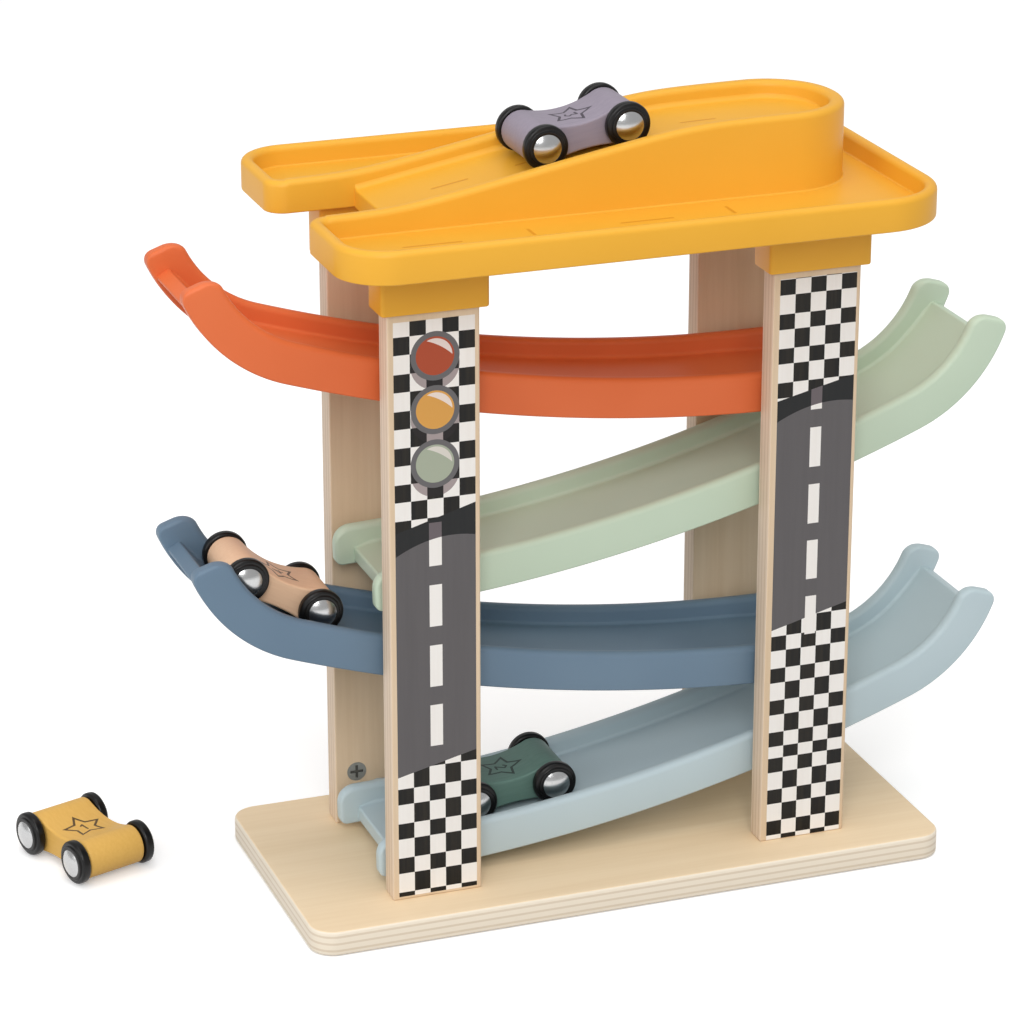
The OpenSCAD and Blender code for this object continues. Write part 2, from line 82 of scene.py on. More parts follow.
def filled(rings, lift, flip=False):
    """Flat area inside the first ring and outside the other, round ones, put in space by lift(points)."""
    sizes = [len(ring) for ring in rings]
    starts = np.cumsum([0] + sizes)
    edges = [start + np.stack([np.arange(n), np.roll(np.arange(n), -1)], -1)
             for start, n in zip(starts, sizes)]
    points, _, faces, origin, _, _ = delaunay_2d_cdt(
        np.concatenate(rings).tolist(), np.concatenate(edges).tolist(), [], 1, 1e-7)
    faces = np.array([list(face) for face in faces])
    ring_of = np.repeat(np.arange(len(rings)), sizes)[np.array([found[0] for found in origin])]
    in_hole = (ring_of[faces] > 0).all(1) & (ring_of[faces] == ring_of[faces[:, :1]]).all(1)
    faces = faces[~in_hole]
    return lift(np.array([list(point) for point in points])), faces[:, ::-1] if flip else faces


def slab(outline, normals, bores, low, high, r, lift=np.asarray, n=4):
    """Plate over a plan outline between two levels, edges rounded to r, bored at (x, y, radius, from, to).

    ring(v) = outline - r (1 - cos v) normal, level = low + r (1 - sin v) below, high - r (1 - sin v) above
    """
    v = np.linspace(0, np.pi / 2, n + 1)
    inset = r * (1 - np.cos(v))
    ease = r * (1 - np.sin(v))
    level = np.concatenate([low + ease[::-1], high - ease])
    plan = outline - np.concatenate([inset[::-1], inset])[:, None, None] * normals
    rings = np.concatenate([plan, np.broadcast_to(level[:, None, None], plan.shape[:2] + (1,))], -1)
    parts = [(lift(rings.reshape(-1, 3)), quads(*rings.shape[:2]))]
    for z, ring, flip in ((low, plan[0], True), (high, plan[-1], False)):
        mouths = [circle(x, y, radius) for x, y, radius, *ends in bores if z in ends]
        parts.append(filled([ring] + mouths, lambda p, z=z: lift(np.c_[p, np.full(len(p), z)]), flip))
    for x, y, radius, start, stop in bores:
        mouth = circle(x, y, radius)
        turn = np.arange(len(mouth))[None]
        near, far = (np.c_[mouth, np.full(len(mouth), z)] for z in (start, stop))
        parts.append((lift(np.concatenate([far, near])), quads(2, len(mouth))))
        if start != low:
            parts.append((lift(near), turn))
        if stop != high:
            parts.append((lift(far), turn[:, ::-1]))
    return parts


def add_mesh(name, parts, place=None):
    """Mesh object from (points in mm, faces) parts, smooth but for sharp edges; keeps each point's place."""
    sharp_edge = np.radians(35)
    starts = np.cumsum([0] + [len(points) for points, _ in parts])
    points = np.concatenate([points for points, _ in parts]) * MM
    faces = [face for start, (_, part) in zip(starts, parts) for face in (np.asarray(part) + start).tolist()]
    mesh = bpy.data.meshes.new(name)
    mesh.from_pydata(points.tolist(), [], faces)
    if place is not None:
        mesh.attributes.new("place", "FLOAT_VECTOR", "POINT").data.foreach_set("vector", (place * MM).ravel())
    mesh.shade_smooth()
    mesh.set_sharp_from_angle(angle=sharp_edge)
    piece = bpy.data.objects.new(name, mesh)
    bpy.context.scene.collection.objects.link(piece)
    return piece


class Value:
    """A shader socket that takes part in sums: each operator adds a Math node to the material's tree."""

    def __init__(self, tree, socket=None):
        self.tree = tree
        self.socket = socket

    def node(self, kind, *inputs, out=0, named=None, **settings):
        """Any other node: its settings, its inputs in order or by name; None leaves an input as it is."""
        made = self.tree.nodes.new("ShaderNode" + kind)
        for key, value in settings.items():
            setattr(made, key, value)
        sockets = list(zip(made.inputs, inputs))
        sockets += [(made.inputs[key], value) for key, value in (named or {}).items()]
        for socket, value in sockets:
            if isinstance(value, Value):
                self.tree.links.new(value.socket, socket)
            elif value is not None:
                socket.default_value = value
        return Value(self.tree, made.outputs[out])

    def maths(self, operation, *inputs):
        """One Math node."""
        return self.node("Math", *inputs, operation=operation)

    def __add__(self, other):
        return self.maths("ADD", self, other)

    def __sub__(self, other):
        return self.maths("SUBTRACT", self, other)

    def __rsub__(self, other):
        return self.maths("SUBTRACT", other, self)

    def __mul__(self, other):
        return self.maths("MULTIPLY", self, other)

    def __truediv__(self, other):
        return self.maths("DIVIDE", self, other)

    def __rtruediv__(self, other):
        return self.maths("DIVIDE", other, self)

    def __abs__(self):
        return self.maths("ABSOLUTE", self)

    def __lt__(self, other):
        return self.maths("LESS_THAN", self, other)

    def __gt__(self, other):
        return self.maths("GREATER_THAN", self, other)

    __radd__ = __add__
    __rmul__ = __mul__


def rgb(r, g, b):
    """Linear colour of a colour written as it looks on screen, 0 to 255."""
    c = np.array([r, g, b]) / 255
    return (*np.where(c < 0.04045, c / 12.92, ((c + 0.055) / 1.055) ** 2.4), 1.0)


def mix(share, a, b):
    """Colour a where share is 0 and colour b where it is 1."""
    numbers_and_vectors = [None] * 5
    return share.node("Mix", share, *numbers_and_vectors, a, b, out=2, data_type="RGBA", clamp_factor=True)


def fade(value, start, stop, kind="LINEAR"):
    """0 where value is at start and 1 where it is at stop, with a straight or a smooth step between them."""
    return value.node("MapRange", value, start, stop, 0.0, 1.0, interpolation_type=kind)


def noise(vector, scale, detail, roughness=0.5):
    """Cloudy noise from 0 to 1, with scale features to the metre."""
    return vector.node("TexNoise", vector, None, scale, detail, roughness)


def new_material(name, attribute=None, **constants):
    """Principled material with constant inputs; returns it, its place vector, and its x, y and z in mm."""
    material = bpy.data.materials.new(name)
    material.use_nodes = True
    shader = material.node_tree.nodes["Principled BSDF"]
    for key, value in constants.items():
        shader.inputs[key.replace("_", " ").title().replace("Ior", "IOR")].default_value = value
    root = Value(material.node_tree)
    if attribute:
        vector = root.node("Attribute", out=1, attribute_name=attribute)
    else:
        vector = root.node("TexCoord", out=3)
    return material, vector, [vector.node("SeparateXYZ", vector, out=axis) / MM for axis in range(3)]


def finish_material(material, colour, roughness=None, height=None, relief=0.0):
    """Feeds the varying colour, roughness and bump height, its relief in mm, to the material's shader."""
    shader = material.node_tree.nodes["Principled BSDF"]
    links = material.node_tree.links
    links.new(colour.socket, shader.inputs["Base Color"])
    if roughness is not None:
        links.new(roughness.socket, shader.inputs["Roughness"])
    if height is not None:
        bump = height.node("Bump", named={"Strength": 1.0, "Distance": relief * MM, "Height": height})
        links.new(bump.socket, shader.inputs["Normal"])


def lacquered_plywood(vector, through, low, high, along, faces, sides):
    """Colour and fine grain of plywood between low and high: grain on its faces, ply lines on its sides.

    depth = (through - low) / (high - low); sides are where 0 < depth < 1; lines = sin(7 pi depth + pi)
    """
    plies = 7
    stretch = np.where(np.arange(3) == along, 0.045, 1.0)
    grain_at = vector.node("Mapping", vector, named={"Scale": stretch.tolist()})
    grain = noise(grain_at, 420.0, 4.0, 0.62)
    broad = noise(grain_at, 90.0, 2.0)
    figure = fade(grain * 0.45 + broad * 0.55, 0.36, 0.64)
    depth = (through - low) / (high - low)
    waver = (broad - 0.5) * 0.02
    wave = depth.maths("SINE", (depth + waver) * (plies * np.pi) + np.pi)
    line = fade(wave, 0.2, 0.9, "SMOOTHSTEP") * (0.55 + grain * 0.4)
    on_side = (depth > 0.015) * (depth < 0.985)
    return mix(on_side, mix(figure, *faces), mix(line, *sides)), grain


def finish_wood(material, colour, grain):
    """Matt lacquer that is duller, and stands a little higher, where the grain is."""
    finish_material(material, colour, 0.44 + grain * 0.14, grain, 0.03)


board_low, board_high = corners("base_board")
board_corner = 10.0
board_edge = 1.0
bolt_offset = 9.0
recess_radius = 4.05
recess_depth = 4.0
post_names = ("front_left", "rear_left", "front_right", "rear_right")
post_boxes = {name: corners(f"{name}_post") for name in post_names}
post_middles = {name: box.mean(0) for name, box in post_boxes.items()}
recesses = [(x + side * bolt_offset, y, recess_radius, board_low[2], board_low[2] + recess_depth)
            for x, y, _ in post_middles.values() for side in (-1, 1)]
board_plan = rounded_box(*board_low[:2], *board_high[:2], board_corner, 12)
board = add_mesh("base_board_look", slab(*board_plan, recesses, board_low[2], board_high[2], board_edge))
plywood, at, (_, _, pz) = new_material("board plywood", specular_ior_level=0.35)
tone, grain = lacquered_plywood(at, pz, board_low[2], board_high[2], 0,
                                (rgb(243, 220, 185), rgb(237, 212, 175)),
                                (rgb(237, 225, 206), rgb(215, 197, 172)))
finish_wood(plywood, tone, grain)
board.data.materials.append(plywood)
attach(board, "frame")
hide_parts("base_board")


# Posts: four upright boards of the same plywood, their long edges eased, with barrel nuts let into their
# inner faces near the foot. The front faces of the two front posts carry a screen print: checks, a road with
# a dashed line, and on the left post a traffic light.
post_corner = 0.8
post_edge = 0.6
nut_bore = 4.05
nut_depth = 8.0
nut_height = 21.7
print_depth = 0.1
check_width = 6.37
lens_radius = 7.5
ring_radius = 9.55
shadow_radius = 9.6
shadow_drop = 3.4
crescent_radius = 6.75
crescent_cut = 25.0
cut_left = 10.74
cut_below = 17.87


def upright(p):
    """Stands a plate up, with its levels towards the front: (x, y, level) goes to (x, -level, y)."""
    return np.c_[p[:, 0], -p[:, 2], p[:, 1]]


def post_mesh(name, low, high):
    """Upright board: the slab formula over plan X, Z, bored for two nuts from the face towards the middle."""
    plan, normals = rounded_box(low[0], low[2], high[0], high[2], post_corner, 4)
    inner = high[1] if high[1] < 0 else low[1]
    levels = sorted((-inner, -inner - np.copysign(nut_depth, inner)))
    middle = (low[0] + high[0]) / 2
    bores = [(middle + side * bolt_offset, low[2] + nut_height, nut_bore, *levels) for side in (-1, 1)]
    return add_mesh(name, slab(plan, normals, bores, -high[1], -low[1], post_edge, upright, 3))


def length(x, y):
    """Length of the flat vector (x, y)."""
    return x.maths("SQRT", x * x + y * y)


def checks(u, z, left, top, short, pair):
    """1 on the dark checks; rows go in pairs down from top, a short row and then a taller one.

    dark where floor((u - left) / check width) + [mod(top - z, pair) > short] is even
    """
    column = u.maths("FLOOR", (u - left) / check_width)
    tall = u.maths("FLOORED_MODULO", top - z, pair) > short
    return u.maths("FLOORED_MODULO", column + tall, 2.0) < 0.5


def lamp(u, z, at_u, at_z):
    """Distance from a lamp's middle, 1 on the crescent of light in its lens, and 1 on its shadow just below.

    The crescent is inside a small circle about the middle and outside a large one from below on the left.
    """
    du = u - at_u
    dz = z - at_z
    far = length(du, dz)
    crescent = (far < crescent_radius) * (length(du + cut_left, dz + cut_below) > crescent_cut)
    shadow = length(du, dz + shadow_drop) < shadow_radius
    return far, crescent, shadow


def road_print(u, z, grain, picture):
    """Colour of a post's picture, in mm across u and up z, and 1 inside its edges.

    In layers: checks with lamps, a dark verge under z = rise + lean u, the road under a bow
    z = peak - bow (u - middle)^2, checks under a slanting foot, and the dashes of the road's line.
    """
    left, right, top, bottom = picture["edges"]
    streak = fade(grain, 0.40, 0.66)
    white = mix(streak * 0.25, rgb(238, 234, 229), rgb(227, 220, 212))
    black = mix(streak * 0.8, rgb(22, 21, 20), rgb(40, 36, 30))
    dark = mix(streak * 0.3, rgb(33, 34, 35), rgb(44, 43, 42))
    grey = mix(streak * 0.35, rgb(95, 92, 93), rgb(88, 85, 86))
    upper = checks(u, z, left, *picture["upper_checks"])
    art = mix(upper, white, black)
    lamps = [(*lamp(u, z, *place), lens, shine) for place, lens, shine in picture["lamps"]]
    for _, _, shadow, _, _ in lamps:
        art = mix(shadow, art, mix(upper, rgb(160, 148, 147), rgb(34, 31, 31)))
    for far, crescent, _, lens, shine in lamps:
        art = mix(far < ring_radius, art, rgb(102, 100, 101))
        art = mix(far < lens_radius, art, lens)
        art = mix(crescent * shine, art, rgb(232, 222, 216))
    rise, lean = picture["verge"]
    middle, peak, bow = picture["road"]
    foot, foot_lean = picture["foot"]
    seam, shift = picture["seam"]
    line_middle, line_half = picture["line"]
    on_line = abs(u - line_middle) < line_half
    on_road = z < peak - (u - middle) * (u - middle) * bow
    on_dash = sum((z > start) * (z < stop) for start, stop in picture["dashes"])
    art = mix(z < u * lean + rise, art, mix(on_line * (z < picture["line_top"]), dark, rgb(104, 96, 99)))
    art = mix(on_road, art, grey)
    lower = checks(u, z - (z < seam) * shift, left, *picture["lower_checks"])
    art = mix(z < u * foot_lean + foot, art, mix(lower, white, black))
    art = mix(on_dash * on_line * on_road, art, white)
    return art, (u > left) * (u < right) * (z < top) * (z > bottom)


def post_wood(name, low, high, picture):
    """Plywood of one post, with its printed picture on the front where the post has one."""
    wood, at, (px, py, pz) = new_material(name, specular_ior_level=0.22)
    colour, grain = lacquered_plywood(at, py, low[1], high[1], 2,
                                      (rgb(222, 199, 170), rgb(212, 187, 156)),
                                      (rgb(224, 204, 182), rgb(205, 181, 155)))
    if picture:
        art, inside = road_print(px - (low[0] + high[0]) / 2, pz, grain, picture)
        colour = mix(inside * (py < low[1] + print_depth), colour, art)
    finish_wood(wood, colour, grain)
    return wood


# edges: left, right, top, bottom; checks: top, short row, pair of rows; seam: height, shift of rows below;
# verge and foot: height, slant; road: middle, peak, bow; line: middle, half width; lamps: place, lens, shine.
pictures = {
    "front_left": dict(
        edges=(-15.7, 16.1, 244.5, 11.3), upper_checks=(238.8, 7.0, 14.43), lower_checks=(56.95, 6.55, 14.6),
        seam=(0.0, 0.0), verge=(166.25, 0.288), road=(7.0, 158.8, 0.0125), foot=(65.55, 0.2406),
        line=(0.1, 2.5), line_top=164.6, dashes=[(147.2, 170), (122.6, 139.5), (97.9, 114.9), (73.3, 90.3)],
        lamps=[((0.5, 230.2), rgb(167, 76, 50), 0.85), ((0.4, 209.2), rgb(212, 156, 80), 0.85),
               ((0.2, 188.0), rgb(163, 170, 151), 0.65)]),
    "front_right": dict(
        edges=(-15.4, 16.4, 244.7, 10.2), upper_checks=(244.45, 6.15, 13.75), lower_checks=(98.3, 6.2, 13.72),
        seam=(48.5, 2.47), verge=(199.5, 0.235), road=(8.5, 193.65, 0.0111), foot=(104.9, 0.262),
        line=(1.0, 2.3), line_top=210.0,
        dashes=[(191, 210), (167.5, 183.7), (144.1, 160.3), (120.8, 137), (97.5, 113.6)], lamps=[]),
}
for label, box in post_boxes.items():
    post = post_mesh(f"{label}_post_look", *box)
    post.data.materials.append(post_wood(f"{label} post plywood", *box, pictures.get(label)))
    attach(post, "frame")
    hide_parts(f"{label}_post")


# Fastenings: zinc-plated bolts with low heads under the board, and barrel nuts with a cross slot across the
# posts. They are turned steel, kept as the part has them; their colour is darker inside the slots, as painted
# shade.
def repaint(node, material):
    """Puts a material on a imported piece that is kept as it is."""
    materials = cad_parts[node].data.materials
    materials.clear()
    materials.append(material)


nut_face = post_boxes["rear_left"][0][1]
slot_start = 0.3
zinc, at, (_, py, pz) = new_material("zinc-plated steel", metallic=0.5)
spangle = noise(at, 900.0, 3.0, 0.6)
plating = mix(spangle, rgb(172, 172, 167), rgb(148, 148, 144))
# Painted shade: the colour is darker beyond slot_start past the posts' inner faces, that is inside the nuts'
# slots.
slot_shade = (abs(py) > nut_face + slot_start) * (pz > board_high[2])
finish_material(zinc, mix(slot_shade, plating, rgb(108, 107, 102)), 0.34 + spangle * 0.2, spangle, 0.02)
repaint("base_bolts", zinc)
repaint("cross_nuts", zinc)


# Start deck: one satin yellow injection moulding, with a rounded rim round two trays, a ramp between walls
# that run on from the rim, a notch where the cars drop, and four sleeves that slip over the posts' tops.
deck_low, deck_high = corners("start_deck")
deck_under = post_boxes["front_left"][1][2]
rim_wall = 5.0
rim_height = 12.4
tray_floor = 4.4
exit_corner = 20.0
closed_corner = 28.0
prong_corner = 8.0
channel_half = 23.0
channel_end = 96.0
channel_round = 22.0
ramp_wall = 6.0
ramp_exit = -86.0
ramp_crest = 32.0
exit_height = 7.0
level_height = 28.0
wall_top = deck_high[2] - deck_under
wall_ease = 16.0
bed_ease = 12.0
bed_shell = 3.0
bed_fillet = 3.0
bed_nose = 0.8
bed_gap = 0.1
tuck = 0.2
sleeve_play = 0.15
sleeve_wall = 2.9
sleeve_corner = 1.6
socket_corner = 0.3
groove_half = 0.9
groove_flat = 0.4
dash_start = -62.6
dash_pitch = 33.4
dash_length = 13.5
dash_y = 0.5
quarter = np.linspace(0, np.pi / 2, 6)


def filleted(plan, radii, legs, arc=16):
    """Closed path with square corners rounded to radii, and legs[i] points between corner i and the next.

    point(a) = corner - r u + r v + r (u sin a - v cos a) for arrival u and departure v; legs are straight
    """
    plan = np.array(plan, float)
    ahead = np.roll(plan, -1, 0) - plan
    v = ahead / np.linalg.norm(ahead, axis=1, keepdims=True)
    u = np.roll(v, 1, 0)
    r = np.array(radii, float)[:, None]
    a = np.linspace(0, np.pi / 2, arc + 1)[None, :, None]
    bends = (plan - r * u + r * v)[:, None] + r[:, None] * (np.sin(a) * u[:, None] - np.cos(a) * v[:, None])
    pieces = []
    for bend, following, points in zip(bends, np.roll(bends, -1, 0), legs):
        share = np.linspace(0, 1, points + 2)[1:-1, None]
        pieces += [bend, bend[-1] + share * (following[0] - bend[-1])]
    return np.concatenate(pieces)


def rim_path(wall, ramp):
    """Path along the rim's foot, drawn in by wall from the deck's outer side, by ramp from the channel's."""
    x0, y0 = deck_low[:2] + wall
    x1, y1 = deck_high[:2] - wall
    side = channel_half + ramp
    end = channel_end + ramp
    plan = [(x0, y0), (x1, y0), (x1, y1), (x0, y1), (x0, side), (end, side), (end, -side), (x0, -side)]
    radii = [exit_corner - wall, closed_corner - wall, closed_corner - wall, exit_corner - wall,
             prong_corner - wall, channel_round + ramp, channel_round + ramp, prong_corner - wall]
    return filleted(plan, radii, [2, 2, 2, 2, 90, 2, 90, 2])


def soft_step(x, ease):
    """Ramp function max(x, 0) with its bend eased: (x + sqrt(x^2 + ease^2)) / 2."""
    return (x + np.sqrt(x * x + ease * ease)) / 2


def wall_rise(x):
    """Height of the ramp's walls: level with the rim, an even slope from exit to crest, then level again."""
    climb = soft_step(x - ramp_exit, wall_ease) - soft_step(x - ramp_crest, wall_ease)
    return rim_height + (wall_top - rim_height) / (ramp_crest - ramp_exit) * climb


def bed_rise(x):
    """Height of the ramp's bed: an even slope from the exit up to the crest, then level."""
    climb = x - ramp_exit - soft_step(x - ramp_crest, bed_ease)
    return exit_height + (level_height - exit_height) / (ramp_crest - ramp_exit) * climb


def swept(levels, flip=False):
    """Tube whose point (u, v) is levels[v, u], closed along u; flip turns its faces round."""
    levels = np.asarray(levels)
    faces = quads(*levels.shape[:2])
    return levels.reshape(-1, 3), faces[:, ::-1] if flip else faces


def capped(levels, flip=False):
    """That tube and the flat faces over its first and last ring."""
    points, faces = swept(levels, flip)
    ring = np.arange(levels.shape[1])
    ends = np.stack([ring[::-1], len(points) - len(ring) + ring])
    return [(points, faces), (points, ends[:, ::-1] if flip else ends)]


def deck_rim():
    """Rim carried along its path, with the tray floor inside it and the underside.

    Across the wall, offset and height go round four quarter circles: foot, inner top, outer top, lower edge.
    """
    top_r = 2.3
    foot_r = 0.8
    edge_r = 0.7
    margin = 0.01
    inner = rim_path(rim_wall, ramp_wall)
    outer = rim_path(0.0, 0.0)
    across = outer - inner
    width = np.linalg.norm(across, axis=1)
    on_ramp = (np.abs(outer[:, 1]) < channel_half + margin) & (outer[:, 0] < channel_end + margin)
    crown = np.where(on_ramp, wall_rise(outer[:, 0]), rim_height) - top_r
    level = np.zeros_like(width)
    sin = np.sin(quarter)[:, None]
    cos = np.cos(quarter)[:, None]
    offset = np.concatenate([level - foot_r + foot_r * sin, level + top_r - top_r * cos,
                             width - top_r + top_r * sin, width - edge_r + edge_r * cos])
    height = np.concatenate([level + tray_floor + foot_r - foot_r * cos, crown + top_r * sin,
                             crown + top_r * cos, level + edge_r - edge_r * sin])
    plan = inner + offset[..., None] * (across / width[:, None])
    rim = np.concatenate([plan, deck_under + height[..., None]], -1)
    tray = filled([plan[0]], lambda p: np.c_[p, np.full(len(p), deck_under + tray_floor)])
    underside = filled([plan[-1]], lambda p: np.c_[p, np.full(len(p), deck_under)], True)
    return [swept(rim, True), tray, underside]


def ramp_bed():
    """Ramp's bed carried from the exit to the round end, filleted to its walls, with a lip down to the exit.

    half width = flat + sqrt(round^2 - (x - start of the round)^2), tucked a little into the walls
    """
    round_start = channel_end - channel_round
    turn = np.linspace(0, np.pi / 2, 24)[1:]
    lip = len(quarter) + 1
    x = np.concatenate([ramp_exit + bed_nose * (1 - np.cos(quarter)), [ramp_exit + bed_shell] * 2,
                        np.linspace(ramp_exit + 2 * bed_shell, round_start, 76),
                        round_start + (channel_round - bed_gap) * np.sin(turn)])
    bow = np.sqrt((channel_round + tuck) ** 2 - np.maximum(x - round_start, 0) ** 2)
    half = np.minimum(channel_half - channel_round + bow, channel_half + tuck)
    top = bed_rise(x)
    top[:len(quarter)] -= bed_nose * (1 - np.sin(quarter))
    under = np.where(np.arange(len(x)) < lip, 0.0, top - bed_shell)
    lift = bed_fillet * (1 - np.sin(quarter))
    inset = bed_fillet * (1 - np.cos(quarter))
    side = np.repeat([-1, 1, 1, -1], [len(quarter), len(quarter), 1, 1])
    y = half[:, None] * side + np.concatenate([inset, -inset[::-1], [0, 0]])
    surface = top[:, None] + np.concatenate([lift, lift[::-1]])
    z = np.concatenate([surface, np.repeat(under[:, None], 2, 1)], 1)
    return capped(np.stack([np.broadcast_to(x[:, None], z.shape), y, deck_under + z], -1))


def sleeve(low, high):
    """Sleeve round a post's top: inner wall, flat foot, eased outer edge, outer wall."""
    inner, _ = rounded_box(*(low[:2] - sleeve_play), *(high[:2] + sleeve_play), socket_corner, 5)
    reach = sleeve_play + sleeve_wall
    outer, normal = rounded_box(*(low[:2] - reach), *(high[:2] + reach), sleeve_corner, 5)
    easing = ((0.6, 0.0), (0.2, 0.2), (0.0, 0.7))
    eased = [(outer - inset * normal, deck_low[2] + rise) for inset, rise in easing]
    levels = [(inner, deck_under + tuck), (inner, deck_low[2]), *eased, (outer, deck_under + tuck)]
    return swept([np.c_[plan, np.full(len(plan), z)] for plan, z in levels])


def stroke_gap(u, v, a, b):
    """Distance to the segment from a to b: from p to a + clamp((p - a).(b - a) / |b - a|^2) (b - a)."""
    du, dv = b[0] - a[0], b[1] - a[1]
    share = ((u - a[0]) * du + (v - a[1]) * dv) / (du * du + dv * dv)
    share = share.maths("MINIMUM", share.maths("MAXIMUM", share, 0.0), 1.0)
    return length(u - (share * du + a[0]), v - (share * dv + a[1]))


def satin_plastic(name, light, shade, grooves=(), above=0.0):
    """Satin moulded plastic: fine spark texture, faint flow marks, uneven sheen, grooves above a height,
    darkened as painted shade.
    """
    plastic, at, (px, py, pz) = new_material(name, specular_ior_level=0.27)
    fine = noise(at, 2600.0, 2.0)
    flow = noise(at, 16.0, 2.0)
    colour = mix(fade(flow, 0.3, 0.7), rgb(*light), rgb(*shade))
    relief = fine
    if grooves:
        near = stroke_gap(px, py, *grooves[0])
        for start, stop in grooves[1:]:
            near = near.maths("MINIMUM", near, stroke_gap(px, py, start, stop))
        groove_and_shade = fade(near, groove_half, groove_flat, "SMOOTHSTEP") * (pz > above)
        # The grooves' relief is real; their darker, more orange colour is painted shade.
        colour = mix(groove_and_shade * 0.75, colour, rgb(*(np.array(shade) * (0.9, 0.8, 0.5))))
        relief = relief - groove_and_shade * 5
    finish_material(plastic, colour, 0.36 + flow * 0.1 + fine * 0.04, relief, 0.02)
    return plastic


ramp_dashes = [((x, dash_y), (x + dash_length, dash_y)) for x in np.arange(4) * dash_pitch + dash_start]
tray_marks = [((-89.5, -46.5), (-67.7, -46.5)), ((-39.5, -40.5), (-39.5, -47.5)),
              ((-4.0, -44.5), (16.0, -44.5)), ((40.4, -38.0), (40.4, -46.5))]
deck = add_mesh("start_deck_look", deck_rim() + ramp_bed() + [sleeve(*box) for box in post_boxes.values()])
groove_low = deck_under + tray_floor - 0.4
deck.data.materials.append(satin_plastic("yellow plastic", (231, 171, 55), (227, 166, 49),
                                         ramp_dashes + tray_marks, groove_low))
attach(deck, "frame")
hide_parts("start_deck")


# Tracks: four satin mouldings of one shape, each with two rounded walls, a floor set up between them, and an
# upturned lip. Pegs with round shoulders on the walls' outer sides snap into the posts.
run_radius = 673.0
lip_radius = 62.5
lip_length = 57.0
lip_start = 129.5
low_reach = 96.0
bottom_height = 12.2
track_pitch = 56.5
track_half = 28.0
track_wall = 5.5
track_height = 15.8
floor_under = 3.0
floor_top = 8.3
floor_fillet = 1.8
floor_tuck = 0.1
fillet_run = 6.0
low_setback = 7.6
tip_setback = 9.2
fall_run = 25.0
low_fall = 1.4
tip_fall = 1.8
rib_depth = 2.2
rib_run = 5.0
rib_slope = 3.0
shoulder = 5.5
shoulder_edge = 0.3
shoulder_tuck = 0.5


def rounding(r, d):
    """How far a quarter circle of radius r stands back at d from its end: r - sqrt(r^2 - (r - d)^2)."""
    return r - np.sqrt(np.maximum(r * r - np.maximum(r - d, 0) ** 2, 0))


def lathe(profile, centre, axis, start, n=48):
    """Surface of revolution: point(t, v) = centre + axis a(v) + r(v) (start cos t + side sin t)."""
    axis = np.array(axis, float)
    start = np.array(start, float)
    t = np.linspace(0, 2 * np.pi, n, endpoint=False)[:, None]
    ring = np.cos(t) * start + np.sin(t) * np.cross(axis, start)
    r, a = np.array(profile, float).T[..., None, None]
    return swept(np.array(centre) + a * axis + r * ring)


